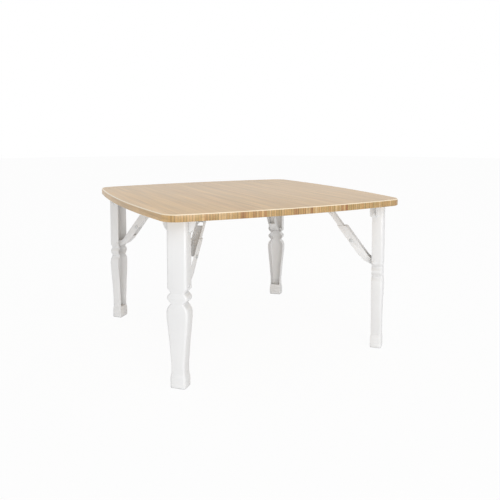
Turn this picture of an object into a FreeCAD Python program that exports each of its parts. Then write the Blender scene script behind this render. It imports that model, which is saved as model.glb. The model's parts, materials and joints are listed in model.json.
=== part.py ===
import FreeCAD, Part
import math
import os

import Sketcher

os.makedirs("parts", exist_ok=True)

# Folding low table: a square board on four pressed steel legs that fold inward under it.
# The table stands on z = 0 with its centre on the z axis, and its front edge faces -Y.
# A leg unit is drawn with x outward along the diagonal, y across it and z up,
# and is then turned to its corner.

SIZES = (
    # Board
    ("table_side", 600.0, "side of the board, between the middles of opposite edges"),
    ("table_height", 350.0, "floor to the upper face"),
    ("top_thickness", 15.0, "board thickness"),
    ("side_bow_radius", 1920.0, "radius of the slightly bowed edges"),
    ("corner_radius", 35.0, "rounded corners in plan"),
    ("top_edge_round", 2.5, "rounded upper arris"),
    ("bottom_edge_round", 1.2, "rounded lower arris"),
    # Leg, a channel of pressed sheet open towards the table centre
    ("leg_corner_inset", 67.1, "square corner of the board to the outer leg face, on the diagonal"),
    ("leg_width", 42.0, "width of the plain upper block"),
    ("leg_depth", 25.2, "depth of the plain upper block"),
    ("leg_wall", 1.2, "sheet thickness of the leg"),
    ("leg_corner_round", 5.0, "rounded outer edges of the leg"),
    ("leg_top_gap", 2.0, "leg top to bracket plate"),
    ("block_length", 132.5, "length of the plain upper block"),
    ("ornament_height", 47.0, "height of the turned bead and shoulder"),
    # Foot cap
    ("foot_floor", 3.0, "thickness under the leg end"),
    ("foot_height", 20.0, "straight part of the cap"),
    ("foot_taper", 10.0, "tapered rim above it"),
    ("foot_side_wall", 2.2, "cap wall beside the leg"),
    ("foot_face_wall", 1.2, "cap wall in front of and behind the leg"),
    ("foot_rim_wall", 0.5, "wall left at the upper rim"),
    ("foot_groove", 0.5, "depth and half height of the two lines round the cap"),
    ("foot_fit", 0.1, "gap between cap and leg"),
    ("foot_inner_round", 1.5, "rounded inner edges of the cap"),
    # Leg bracket
    ("bracket_sheet", 1.5, "sheet thickness of the brackets"),
    ("pivot_drop", 20.0, "underside to leg pivot"),
    ("pivot_inset", 5.0, "inner leg edge to leg pivot"),
    ("pin_radius", 2.5, "all pivot pins"),
    ("pin_fit", 0.1, "running gap round a pin"),
    ("head_radius", 4.5, "rivet heads"),
    ("head_height", 1.6, "rivet heads"),
    ("ear_gap", 0.4, "bracket ear to leg side"),
    ("ear_drop", 27.5, "underside to the lower end of the ears"),
    ("ear_inner_reach", 10.0, "leg pivot to the inner edge of the ears"),
    ("ear_outer_reach", 6.0, "leg pivot to the outer edge of the ears"),
    ("ear_round", 5.0, "rounded lower corners of the ears"),
    ("gusset_spread", 12.0, "width of the flared gusset at the plate"),
    ("gusset_drop", 24.0, "height of the flared gusset"),
    ("gusset_radius", 24.0, "hollow edge of the gusset"),
    ("flange_width", 16.0, "plate beyond each ear"),
    ("tongue_length", 27.0, "plate inward of the ears"),
    ("tongue_width", 36.0, "width of that tongue"),
    ("plate_round", 4.0, "rounded plate corners"),
    # Brace
    ("brace_span", 98.23, "inner leg edge to brace bracket pin"),
    ("brace_drop", 21.0, "underside to brace bracket pin"),
    ("elbow_span", 48.7, "inner leg edge to elbow"),
    ("elbow_rise", 49.8, "lower end of the block to elbow"),
    ("link_pin_inset", 6.5, "inner leg edge to the lower link pivot"),
    ("link_pin_rise", 3.18, "lower end of the block to the lower link pivot"),
    ("link_sheet", 1.0, "sheet thickness of both links"),
    ("lower_link_width", 22.0, "outside width of the lower link"),
    ("lower_link_rise", 11.3, "elbow line to the open edge of the lower link"),
    ("lower_link_tail", 46.0, "elbow to the free end of the lower link"),
    ("tail_corner_cut", 13.0, "slant of the free end"),
    ("lower_end_radius", 6.0, "round end at the lower link pivot"),
    ("lower_crest_round", 3.5, "rounded crest beside that end"),
    ("upper_link_width", 18.2, "outside width of the upper link"),
    ("upper_link_height", 10.0, "height of the upper link"),
    ("web_gap", 0.3, "web to web at rest"),
    ("window_before", 5.0, "web window, from the elbow towards the tail"),
    ("window_after", 26.0, "web window, from the elbow towards the leg"),
    ("upper_web_start", 8.5, "bracket pin to the web of the upper link"),
    ("upper_web_stop", 2.0, "web of the upper link to the elbow"),
    ("elbow_head_radius", 4.0, "elbow rivet heads"),
    ("elbow_head_height", 1.5, "elbow rivet heads"),
    # Brace bracket
    ("brace_ear_gap", 0.3, "bracket ear to upper link"),
    ("brace_ear_half", 6.5, "half the width of a brace bracket ear"),
    ("brace_plate_length", 46.0, "plate along the diagonal"),
    ("brace_plate_width", 24.0, "plate across the diagonal"),
    # Bushes and screws
    ("bush_wall", 0.6, "wall of the spacer bushes"),
    ("bush_end_gap", 0.25, "bush end to link or leg wall"),
    ("screw_radius", 1.6, "screw shank"),
    ("screw_length", 11.0, "screw shank below the head"),
    ("screw_head_radius", 3.4, "pan head"),
    ("screw_head_height", 2.0, "pan head"),
    ("screw_slot_width", 0.8, "cross recess"),
    ("screw_slot_depth", 1.0, "cross recess"),
    ("screw_fit", 0.1, "gap round a screw"),
    ("flange_screw_inset", 8.0, "ear to the screws in the flanges"),
    ("tongue_screw_inset", 8.0, "tongue end to its screws"),
    ("tongue_screw_spacing", 22.0, "between the screws of the tongue"),
    ("brace_screw_spacing", 33.0, "between the screws of the brace bracket"),
    ("cut_overrun", 5.0, "how far a cut runs past what it cuts"),
)

# Corner names with the turn of their leg unit about the z axis
CORNERS = (("front_left", 225), ("front_right", 315), ("back_right", 45), ("back_left", 135))

# Leg profile, from the block down: share of the ornament height, of the leg width, of the leg depth
ORNAMENT_SHARES = (
    (0.17, 0.675, 0.95),
    (0.255, 0.90, 0.965),
    (0.33, 1.04, 0.98),
    (0.447, 1.04, 0.98),
    (0.638, 0.65, 0.972),
    (0.72, 0.83, 0.98),
    (0.83, 1.02, 1.0),
    (1.0, 1.11, 1.014),
)
# Below the ornament: share of the remaining height, of the leg width, of the leg depth
SHAFT_SHARES = (
    (0.08, 1.10, 1.004),
    (0.29, 0.95, 0.968),
    (0.415, 0.85, 0.95),
    (0.61, 0.75, 0.929),
    (0.68, 0.69, 0.929),
    (1.0, 0.69, 0.929),
)
# Heights of the two lines round the foot cap, as shares of its straight part
FOOT_LINE_SHARES = (0.5, 0.85)
# Lower edge of the lower link: share of the way to its pivot, share of the rise to that pivot
LOWER_EDGE_SHARES = ((0.50, 0.0), (0.77, 0.152), (0.924, 0.405))
# Upper edge of the lower link near the leg, in the same way but rising from the open edge
UPPER_EDGE_SHARES = ((0.924, 1.0), (0.826, 0.17), (0.70, 0.0))
# Largest rounding that still fits an edge, as a share of half the width
FULL_ROUND_SHARE = 0.96
# Rounding of the lower link's end, whose corners aren't square, as a share of half its width
LINK_END_ROUND_SHARE = 0.8

doc = FreeCAD.newDocument("folding_table")
sheet = doc.addObject("Spreadsheet::Sheet", "Sizes")
for row, (alias, number, note) in enumerate(SIZES, start=1):
    sheet.set("A%d" % row, alias)
    sheet.set("B%d" % row, str(number))
    sheet.set("C%d" % row, note)
    sheet.setAlias("B%d" % row, alias)
doc.recompute()


class Length:
    """A length with its number and the expression that ties a feature to the sheet."""

    def __init__(self, number, text):
        self.number = number
        self.text = text

    def __float__(self):
        return self.number

    def __add__(self, other):
        return Length(self.number + float(other), "(%s + %s)" % (self.text, text_of(other)))

    def __sub__(self, other):
        return Length(self.number - float(other), "(%s - %s)" % (self.text, text_of(other)))

    def __mul__(self, other):
        return Length(self.number * float(other), "(%s * %s)" % (self.text, text_of(other)))

    def __truediv__(self, other):
        return Length(self.number / float(other), "(%s / %s)" % (self.text, text_of(other)))

    def __neg__(self):
        return Length(-self.number, "(-1 * %s)" % self.text)


def text_of(value):
    return value.text if isinstance(value, Length) else repr(float(value))


def root(value):
    """Square root of a product of two lengths."""
    return Length(math.sqrt(value.number), "sqrt(%s)" % value.text)


ZERO = Length(0.0, "0")
size = {alias: Length(float(sheet.get(alias)), "Sizes." + alias) for alias, number, note in SIZES}

# Heights
underside = size["table_height"] - size["top_thickness"]
plate_bottom = underside - size["bracket_sheet"]
leg_top = plate_bottom - size["leg_top_gap"]
block_bottom = leg_top - size["block_length"]
ornament_bottom = block_bottom - size["ornament_height"]
leg_bottom = size["foot_floor"]

# Distances from the table centre along the diagonal
leg_face = size["table_side"] / 2 * math.sqrt(2) - size["leg_corner_inset"]
leg_inner = leg_face - size["leg_depth"]

# Pivots of a leg unit as (distance from the centre, height)
leg_pivot = (leg_inner + size["pivot_inset"], underside - size["pivot_drop"])
link_pivot = (leg_inner + size["link_pin_inset"], block_bottom + size["link_pin_rise"])
elbow = (leg_inner - size["elbow_span"], block_bottom + size["elbow_rise"])
brace_pivot = (leg_inner - size["brace_span"], underside - size["brace_drop"])

# The upper link runs from the brace pivot to the elbow, and the lower link goes on in the same line.
run = elbow[0] - brace_pivot[0]
fall = brace_pivot[1] - elbow[1]
upper_length = root(run * run + fall * fall)
brace_turn = math.degrees(math.atan2(float(fall), float(run)))
reach = link_pivot[0] - elbow[0]
sink = elbow[1] - link_pivot[1]
link_along = (reach * run + sink * fall) / upper_length
link_off = (reach * fall - sink * run) / upper_length

# Half widths across the diagonal, from the inside out
upper_outer = size["upper_link_width"] / 2
upper_inner = upper_outer - size["link_sheet"]
brace_ear_outer = upper_inner - size["brace_ear_gap"]
brace_ear_inner = brace_ear_outer - size["bracket_sheet"]
lower_outer = size["lower_link_width"] / 2
lower_inner = lower_outer - size["link_sheet"]
leg_half = size["leg_width"] / 2
leg_half_inside = leg_half - size["leg_wall"]
ear_inner = leg_half + size["ear_gap"]
ear_outer = ear_inner + size["bracket_sheet"]

upper_half_height = size["upper_link_height"] / 2
lower_web_top = upper_half_height + size["web_gap"]
lower_edge = lower_web_top + size["link_sheet"]

ear_low = underside - size["ear_drop"]
ear_from = leg_pivot[0] - size["ear_inner_reach"]
ear_to = leg_pivot[0] + size["ear_outer_reach"]
flange_half = ear_outer + size["flange_width"]
tongue_from = ear_from - size["tongue_length"]
tongue_half = size["tongue_width"] / 2
over = size["cut_overrun"]

# Screw places of a unit as (distance from the centre, across the diagonal)
flange_screw_at = (ear_from + ear_to) / 2
flange_screw_off = ear_outer + size["flange_screw_inset"]
tongue_screw_at = tongue_from + size["tongue_screw_inset"]
tongue_screw_off = size["tongue_screw_spacing"] / 2
brace_screw_off = size["brace_screw_spacing"] / 2
leg_screw_places = (
    (flange_screw_at, flange_screw_off),
    (flange_screw_at, -flange_screw_off),
    (tongue_screw_at, tongue_screw_off),
    (tongue_screw_at, -tongue_screw_off),
)
brace_screw_places = (
    (brace_pivot[0] + brace_screw_off, ZERO),
    (brace_pivot[0] - brace_screw_off, ZERO),
)


def vector(x, y, z=0):
    return FreeCAD.Vector(float(x), float(y), float(z))


def new_body(label):
    body = doc.addObject("PartDesign::Body", label)
    body.Label = label
    return body


def sketch_on(body, role, offset=ZERO):
    """Sketch on one of the body's own origin planes, moved along its normal."""
    sketch = body.newObject("Sketcher::SketchObject", body.Label + "_sketch")
    plane = next(item for item in body.Origin.OriginFeatures if item.Role == role)
    sketch.AttachmentSupport = [(plane, "")]
    sketch.MapMode = "FlatFace"
    if offset is not ZERO:
        sketch.setExpression("AttachmentOffset.Base.z", offset.text)
    return sketch


def hold(sketch, kind, *where):
    """Add a dimension to the sketch and tie it to the sheet."""
    length = where[-1]
    index = sketch.addConstraint(Sketcher.Constraint(kind, *where[:-1], float(length)))
    if length is not ZERO:
        sketch.setExpression("Constraints[%d]" % index, length.text)


def hold_point(sketch, geometry, position, x, y):
    hold(sketch, "DistanceX", -1, 1, geometry, position, x)
    hold(sketch, "DistanceY", -1, 1, geometry, position, y)


def arc_between(start, end, radius):
    """Arc from start to end, counter-clockwise, and less than a half circle."""
    half = (end - start) / 2
    height = math.sqrt(max(float(radius) ** 2 - half.Length ** 2, 0))
    across = FreeCAD.Vector(-half.y, half.x, 0).normalize()
    centre = start + half + across * height
    first = math.atan2(start.y - centre.y, start.x - centre.x)
    last = math.atan2(end.y - centre.y, end.x - centre.x)
    circle = Part.Circle(centre, FreeCAD.Vector(0, 0, 1), float(radius))
    return Part.ArcOfCircle(circle, first, last)


def outline(sketch, points):
    """Closed outline through (x, y) points; a third value is the radius of a hollow arc to the next."""
    count = len(points)
    base = sketch.GeometryCount
    ends = []
    for index, point in enumerate(points):
        start = vector(*point[:2])
        end = vector(*points[(index + 1) % count][:2])
        if len(point) == 3:
            sketch.addGeometry(arc_between(end, start, point[2]))
            ends.append((2, 1))
        else:
            sketch.addGeometry(Part.LineSegment(start, end))
            ends.append((1, 2))
    for index in range(count):
        after = (index + 1) % count
        sketch.addConstraint(
            Sketcher.Constraint("Coincident", base + index, ends[index][1], base + after, ends[after][0])
        )
    for index, point in enumerate(points):
        hold_point(sketch, base + index, ends[index][0], *point[:2])
        if len(point) == 3:
            hold(sketch, "Radius", base + index, point[2])


def circle(sketch, x, y, radius):
    index = sketch.addGeometry(Part.Circle(vector(x, y), FreeCAD.Vector(0, 0, 1), float(radius)))
    hold_point(sketch, index, 3, x, y)
    hold(sketch, "Radius", index, radius)


def extrude(body, kind, sketch, length, side="Symmetric"):
    """Pad or Pocket of a sketch; symmetric ones reach half the length to each side."""
    feature = body.newObject("PartDesign::" + kind, body.Label + "_" + kind.lower())
    feature.Profile = sketch
    feature.SideType = side
    feature.setExpression("Length", length.text)
    sketch.Visibility = False
    doc.recompute()
    return feature


def straight_edges(shape, axis, places):
    """Names of the straight edges along an axis that pass through the given places."""
    names = []
    for index, edge in enumerate(shape.Edges, start=1):
        middle = edge.CenterOfMass
        along = edge.Length > 0 and abs(abs(edge.tangentAt(edge.FirstParameter).dot(axis)) - 1) < 1e-6
        flat = middle - axis * middle.dot(axis)
        if along and any((flat - place).Length < 1e-4 for place in places):
            names.append("Edge%d" % index)
    return names


def round_edges(body, base, names, radius):
    feature = body.newObject("PartDesign::Fillet", body.Label + "_fillet")
    feature.Base = (base, names)
    feature.setExpression("Radius", radius.text)
    doc.recompute()
    return feature


def unit_placement(turn):
    return FreeCAD.Placement(FreeCAD.Vector(), FreeCAD.Rotation(FreeCAD.Vector(0, 0, 1), turn))


def brace_placement(turn, origin):
    """Local x along the brace, from the bracket down to the leg, and local z towards the corner."""
    slope = FreeCAD.Rotation(FreeCAD.Vector(0, 1, 0), brace_turn)
    return unit_placement(turn).multiply(FreeCAD.Placement(vector(origin[0], 0, origin[1]), slope))


def cylinder(name, radius, height, base, across=True):
    """Round bar from a base point, along y (across the unit) or along z."""
    bar = doc.addObject("Part::Cylinder", name)
    bar.setExpression("Radius", radius.text)
    bar.setExpression("Height", height.text)
    turn = FreeCAD.Rotation(FreeCAD.Vector(1, 0, 0), -90) if across else FreeCAD.Rotation()
    bar.Placement = FreeCAD.Placement(vector(*base), turn)
    return bar


def joined(kind, name, parts):
    feature = doc.addObject(kind, name)
    if kind == "Part::Cut":
        feature.Base, feature.Tool = parts
    elif kind == "Part::Compound":
        feature.Links = parts
    else:
        feature.Shapes = parts
    return feature


def finish(feature, label, turn):
    feature.Label = label
    feature.Placement = unit_placement(turn)
    return feature


# Board


def make_tabletop():
    body = new_body("tabletop_panel")
    sketch = sketch_on(body, "XY_Plane", underside)
    half = size["table_side"] / 2
    bow, corner = size["side_bow_radius"], size["corner_radius"]
    inner = float(bow - half)
    # centre of a corner arc on the diagonal, where the corner arc and the bowed sides meet smoothly
    spread = float(bow - corner) ** 2 - inner ** 2 / 2
    centre = math.sqrt(spread / 2) - inner / 2
    lean = math.atan2(centre, centre + inner)
    up = FreeCAD.Vector(0, 0, 1)
    for quarter in range(4):
        turn = quarter * math.pi / 2
        side = Part.Circle(vector(-inner * math.cos(turn), -inner * math.sin(turn)), up, float(bow))
        sketch.addGeometry(Part.ArcOfCircle(side, turn - lean, turn + lean))
        diagonal = turn + math.pi / 4
        at = vector(centre * math.sqrt(2) * math.cos(diagonal), centre * math.sqrt(2) * math.sin(diagonal))
        bend = Part.Circle(at, up, float(corner))
        sketch.addGeometry(Part.ArcOfCircle(bend, turn + lean, turn + math.pi / 2 - lean))
    for index in range(8):
        sketch.addConstraint(Sketcher.Constraint("Tangent", index, 2, (index + 1) % 8, 1))
    for quarter in range(4):
        away = (half - bow) * math.cos(quarter * math.pi / 2)
        aside = (half - bow) * math.sin(quarter * math.pi / 2)
        hold(sketch, "Radius", 2 * quarter, bow)
        hold_point(sketch, 2 * quarter, 3, away, aside)
        hold(sketch, "Radius", 2 * quarter + 1, corner)
    slab = extrude(body, "Pad", sketch, size["top_thickness"], "One side")
    rims = {"top": [], "bottom": []}
    for index, edge in enumerate(slab.Shape.Edges, start=1):
        if edge.BoundBox.ZLength < float(size["bottom_edge_round"]):
            level = "top" if edge.BoundBox.ZMin > float(underside) else "bottom"
            rims[level].append("Edge%d" % index)
    slab = round_edges(body, slab, rims["top"], size["top_edge_round"])
    low = [
        "Edge%d" % index
        for index, edge in enumerate(slab.Shape.Edges, start=1)
        if edge.BoundBox.ZMax - float(underside) < float(size["bottom_edge_round"])
    ]
    round_edges(body, slab, low, size["bottom_edge_round"])
    holes = sketch_on(body, "XY_Plane", underside)
    for name, turn in CORNERS:
        cosine, sine = math.cos(math.radians(turn)), math.sin(math.radians(turn))
        for out, across in leg_screw_places + brace_screw_places:
            x = out * cosine - across * sine
            y = out * sine + across * cosine
            circle(holes, x, y, size["screw_radius"] + size["screw_fit"])
    extrude(body, "Pocket", holes, (size["screw_length"] + size["screw_fit"]) * 2)
    return body


# Leg and foot


def leg_profile():
    """Rows of (height, half width, outer face), from the floor of the cap up to the leg top."""
    rows = [(leg_top, leg_half, leg_face), (block_bottom, leg_half, leg_face)]
    for height, width, depth in ORNAMENT_SHARES:
        rows.append((block_bottom - size["ornament_height"] * height,
                     leg_half * width, leg_inner + size["leg_depth"] * depth))
    for height, width, depth in SHAFT_SHARES:
        rows.append((ornament_bottom - (ornament_bottom - leg_bottom) * height,
                     leg_half * width, leg_inner + size["leg_depth"] * depth))
    return rows[::-1]


def bend(centre, radius, first, last, height):
    """Quarter bend in a level plane."""
    x, y = centre
    points = []
    for angle in (first, (first + last) / 2, last):
        turn = math.radians(angle)
        points.append(vector(x + radius * math.cos(turn), y + radius * math.sin(turn), height))
    return Part.Arc(*points).toShape()


def chain(shapes_and_points):
    """Closed wire through points and bends, with straight edges between them."""
    edges = []
    first = last = None
    for item in shapes_and_points:
        start = item.firstVertex().Point if isinstance(item, Part.Edge) else item
        end = item.lastVertex().Point if isinstance(item, Part.Edge) else item
        if last is not None:
            edges.append(Part.makeLine(last, start))
        if isinstance(item, Part.Edge):
            edges.append(item)
        first = start if first is None else first
        last = end
    edges.append(Part.makeLine(last, first))
    return Part.Wire(edges)


def channel_section(height, half, face):
    """Level section of the leg: three walls, open towards the table centre."""
    z, width, front = float(height), float(half), float(face)
    wall, radius, back = float(size["leg_wall"]), float(size["leg_corner_round"]), float(leg_inner)
    right, left = (front - radius, width - radius), (front - radius, radius - width)
    return chain((
        vector(back, -width, z),
        bend(left, radius, -90, 0, z),
        bend(right, radius, 0, 90, z),
        vector(back, width, z),
        vector(back, width - wall, z),
        bend(right, radius - wall, 90, 0, z),
        bend(left, radius - wall, 0, -90, z),
        vector(back, wall - width, z),
    ))


def box_section(height, half, back, front, outer_round, inner_round):
    """Level section of the foot cap or of its socket."""
    z, width, back, front = float(height), float(half), float(back), float(front)
    big, small = float(outer_round), float(inner_round)
    items = [
        bend((front - big, big - width), big, -90, 0, z),
        bend((front - big, width - big), big, 0, 90, z),
    ]
    if small > 0:
        items.append(bend((back + small, width - small), small, 90, 180, z))
        items.append(bend((back + small, small - width), small, 180, 270, z))
    else:
        items.append(vector(back, width, z))
        items.append(vector(back, -width, z))
    return chain(items)


def make_leg(corner, turn):
    sections = [channel_section(*row) for row in leg_profile()]
    shape = Part.makeLoft(sections, True, True)
    length = float(size["leg_width"] + over * 2)
    for (out, height), radius in (
        (leg_pivot, size["pin_radius"] + size["pin_fit"]), (link_pivot, size["pin_radius"])
    ):
        start = vector(out, length / -2, height)
        shape = shape.cut(Part.makeCylinder(float(radius), length, start, FreeCAD.Vector(0, 1, 0)))
    leg = doc.addObject("Part::Feature", "leg_" + corner)
    leg.Shape = shape
    return finish(leg, "leg_" + corner, turn)


def make_foot_cap(corner, turn):
    narrow, face = leg_profile()[0][1:]
    straight, rim = size["foot_height"], size["foot_height"] + size["foot_taper"]
    side, front, groove = size["foot_side_wall"], size["foot_face_wall"], size["foot_groove"]
    # rows of (height, wall beside the leg, wall in front of it and behind it)
    rows = [(ZERO, side, front)]
    for share in FOOT_LINE_SHARES:
        line = straight * share
        rows += [
            (line - groove, side, front),
            (line, side - groove, front - groove),
            (line + groove, side, front),
        ]
    rows += [(straight, side, front), (rim, size["foot_rim_wall"], size["foot_rim_wall"])]
    fit, bend_round, inner_round = size["foot_fit"], size["leg_corner_round"], size["foot_inner_round"]
    sections = [
        box_section(height, narrow + beside, leg_inner - ahead, face + ahead, bend_round, inner_round)
        for height, beside, ahead in rows
    ]
    socket = box_section(leg_bottom, narrow + fit, leg_inner - fit, face + fit, bend_round, ZERO)
    foot = doc.addObject("Part::Feature", "foot_cap_" + corner)
    foot.Shape = Part.makeLoft(sections, True, True).cut(Part.Face(socket).extrude(vector(0, 0, rim)))
    return finish(foot, "foot_cap_" + corner, turn)


# Leg bracket


def make_leg_bracket(corner, turn):
    body = new_body("leg_bracket_" + corner)
    plate = sketch_on(body, "XY_Plane", plate_bottom)
    outline(plate, (
        (tongue_from, -tongue_half), (ear_from, -tongue_half), (ear_from, -flange_half),
        (ear_to, -flange_half), (ear_to, flange_half), (ear_from, flange_half),
        (ear_from, tongue_half), (tongue_from, tongue_half),
    ))
    slab = extrude(body, "Pad", plate, size["bracket_sheet"], "One side")
    corners = [vector(x, y) for x, y in (
        (tongue_from, -tongue_half), (tongue_from, tongue_half),
        (ear_to, -flange_half), (ear_to, flange_half),
        (ear_from, -flange_half), (ear_from, flange_half),
    )]
    names = straight_edges(slab.Shape, FreeCAD.Vector(0, 0, 1), corners)
    round_edges(body, slab, names, size["plate_round"])

    side = sketch_on(body, "XZ_Plane")
    outline(side, (
        (ear_from, ear_low), (ear_to, ear_low), (ear_to, plate_bottom), (ear_from, plate_bottom),
    ))
    block = extrude(body, "Pad", side, ear_outer * 2)
    corners = [vector(ear_from, 0, ear_low), vector(ear_to, 0, ear_low)]
    names = straight_edges(block.Shape, FreeCAD.Vector(0, 1, 0), corners)
    round_edges(body, block, names, size["ear_round"])
    gap = sketch_on(body, "XZ_Plane")
    outline(gap, (
        (ear_from - over, ear_low - over), (ear_to + over, ear_low - over),
        (ear_to + over, plate_bottom), (ear_from - over, plate_bottom),
    ))
    extrude(body, "Pocket", gap, ear_inner * 2)

    flare = sketch_on(body, "YZ_Plane", ear_to - size["bracket_sheet"])
    tip, foot = ear_outer + size["gusset_spread"], plate_bottom - size["gusset_drop"]
    hollow = size["gusset_radius"]
    outline(flare, ((tip, plate_bottom, hollow), (ear_outer, foot), (ear_outer, plate_bottom)))
    outline(flare, ((-ear_outer, foot, hollow), (-tip, plate_bottom), (-ear_outer, plate_bottom)))
    extrude(body, "Pad", flare, size["bracket_sheet"], "One side")

    pin = sketch_on(body, "XZ_Plane")
    circle(pin, leg_pivot[0], leg_pivot[1], size["pin_radius"])
    extrude(body, "Pocket", pin, flange_half * 2)
    screws = sketch_on(body, "XY_Plane", plate_bottom)
    for out, across in leg_screw_places:
        circle(screws, out, across, size["screw_radius"] + size["screw_fit"])
    extrude(body, "Pocket", screws, size["bracket_sheet"] * 2 + over)
    return finish(body, body.Label, turn)


def make_leg_pivot_pin(corner, turn):
    name = "leg_pivot_pin_" + corner
    out, height = leg_pivot
    shank = cylinder(name + "_shank", size["pin_radius"], ear_outer * 2, (out, -ear_outer, height))
    right = cylinder(name + "_right", size["head_radius"], size["head_height"], (out, ear_outer, height))
    left = cylinder(name + "_left", size["head_radius"], size["head_height"],
                    (out, -(ear_outer + size["head_height"]), height))
    return finish(joined("Part::MultiFuse", name, [shank, right, left]), name, turn)


# Brace


def make_lower_link(corner, turn):
    body = new_body("lower_link_" + corner)
    low, rise, tail = lower_edge, size["lower_link_rise"], size["lower_link_tail"]
    end = size["lower_end_radius"]
    tip = link_along + end
    climb, crest = link_off + low, link_off + end - rise
    under = [(link_along * s, climb * share - low) for s, share in LOWER_EDGE_SHARES]
    above = [(link_along * s, rise + crest * share) for s, share in UPPER_EDGE_SHARES]
    flank = sketch_on(body, "XZ_Plane")
    outline(flank, (
        (-tail, -low), *under, (tip, link_off - end), (tip, link_off + end), *above,
        (size["tail_corner_cut"] - tail, rise),
    ))
    block = extrude(body, "Pad", flank, size["lower_link_width"])
    across = FreeCAD.Vector(0, 1, 0)
    ends = [vector(tip, 0, link_off - end), vector(tip, 0, link_off + end)]
    block = round_edges(body, block, straight_edges(block.Shape, across, ends), end * LINK_END_ROUND_SHARE)
    crest_edge = straight_edges(block.Shape, across, [vector(above[0][0], 0, above[0][1])])
    round_edges(body, block, crest_edge, size["lower_crest_round"])
    inside = sketch_on(body, "XZ_Plane")
    sheet_top = size["link_sheet"] - low
    far, high = tip + over, link_off + end + over
    outline(inside, (
        (-tail - over, sheet_top), (-size["window_before"], sheet_top),
        (-size["window_before"], -low - over), (size["window_after"], -low - over),
        (size["window_after"], sheet_top), (under[0][0], sheet_top),
        (under[1][0], under[1][1] + size["link_sheet"]), (under[1][0], -low - over),
        (far, -low - over), (far, high), (-tail - over, high),
    ))
    extrude(body, "Pocket", inside, lower_inner * 2)
    holes = sketch_on(body, "XZ_Plane")
    circle(holes, ZERO, ZERO, size["pin_radius"])
    circle(holes, link_along, link_off, size["pin_radius"] + size["pin_fit"])
    extrude(body, "Pocket", holes, size["lower_link_width"] + over)
    body.Placement = brace_placement(turn, elbow)
    return body


def make_upper_link(corner, turn):
    body = new_body("upper_link_" + corner)
    half = upper_half_height
    flank = sketch_on(body, "XZ_Plane")
    box = ((-half, -half), (upper_length + half, -half), (upper_length + half, half), (-half, half))
    outline(flank, box)
    block = extrude(body, "Pad", flank, size["upper_link_width"])
    names = straight_edges(block.Shape, FreeCAD.Vector(0, 1, 0), [vector(x, 0, z) for x, z in box])
    round_edges(body, block, names, half * FULL_ROUND_SHARE)
    inside = sketch_on(body, "XZ_Plane")
    start, stop = size["upper_web_start"], upper_length - size["upper_web_stop"]
    web_top, below = size["link_sheet"] - half, -half - over
    far = upper_length + half + over
    outline(inside, (
        (below, below), (start, below), (start, web_top), (stop, web_top),
        (stop, below), (far, below), (far, half + over), (below, half + over),
    ))
    extrude(body, "Pocket", inside, upper_inner * 2)
    holes = sketch_on(body, "XZ_Plane")
    for along in (ZERO, upper_length):
        circle(holes, along, ZERO, size["pin_radius"] + size["pin_fit"])
    extrude(body, "Pocket", holes, size["upper_link_width"] + over)
    body.Placement = brace_placement(turn, brace_pivot)
    return body


def make_brace_bracket(corner, turn):
    body = new_body("brace_bracket_" + corner)
    out, height = brace_pivot
    length, width = size["brace_plate_length"] / 2, size["brace_plate_width"] / 2
    plate = sketch_on(body, "XY_Plane", plate_bottom)
    box = ((out - length, -width), (out + length, -width), (out + length, width), (out - length, width))
    outline(plate, box)
    slab = extrude(body, "Pad", plate, size["bracket_sheet"], "One side")
    names = straight_edges(slab.Shape, FreeCAD.Vector(0, 0, 1), [vector(x, y) for x, y in box])
    round_edges(body, slab, names, size["plate_round"])
    side = sketch_on(body, "XZ_Plane")
    reach_half = size["brace_ear_half"]
    low = height - reach_half
    outline(side, (
        (out - reach_half, low), (out + reach_half, low),
        (out + reach_half, plate_bottom), (out - reach_half, plate_bottom),
    ))
    block = extrude(body, "Pad", side, brace_ear_outer * 2)
    ends = [vector(out - reach_half, 0, low), vector(out + reach_half, 0, low)]
    names = straight_edges(block.Shape, FreeCAD.Vector(0, 1, 0), ends)
    round_edges(body, block, names, reach_half * FULL_ROUND_SHARE)
    gap = sketch_on(body, "XZ_Plane")
    outline(gap, (
        (out - length, low - over), (out + length, low - over),
        (out + length, plate_bottom), (out - length, plate_bottom),
    ))
    extrude(body, "Pocket", gap, brace_ear_inner * 2)
    pin = sketch_on(body, "XZ_Plane")
    circle(pin, out, height, size["pin_radius"])
    extrude(body, "Pocket", pin, size["brace_plate_width"])
    screws = sketch_on(body, "XY_Plane", plate_bottom)
    for place, across in brace_screw_places:
        circle(screws, place, across, size["screw_radius"] + size["screw_fit"])
    extrude(body, "Pocket", screws, size["bracket_sheet"] * 2 + over)
    return finish(body, body.Label, turn)


def make_brace_pin(corner, turn):
    name = "brace_pin_" + corner
    half = upper_outer + size["brace_ear_gap"]
    pin = cylinder(name, size["pin_radius"], half * 2, (brace_pivot[0], -half, brace_pivot[1]))
    pin.Placement = unit_placement(turn).multiply(pin.Placement)
    return pin


def make_elbow_rivets(corner, turn):
    """Two short rivets, one in each flank of the lower link, flush on the inside."""
    name = "elbow_rivets_" + corner
    out, height = elbow
    length, head = size["link_sheet"], size["elbow_head_height"]
    rivets = []
    for side, shank_from, head_from in (
        ("right", lower_inner, lower_outer), ("left", -lower_outer, -(lower_outer + head))
    ):
        shank = cylinder(name + "_shank_" + side, size["pin_radius"], length, (out, shank_from, height))
        cap = cylinder(name + "_head_" + side, size["elbow_head_radius"], head, (out, head_from, height))
        rivets.append(joined("Part::MultiFuse", name + "_" + side, [shank, cap]))
    return finish(joined("Part::Compound", name, rivets), name, turn)


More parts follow.
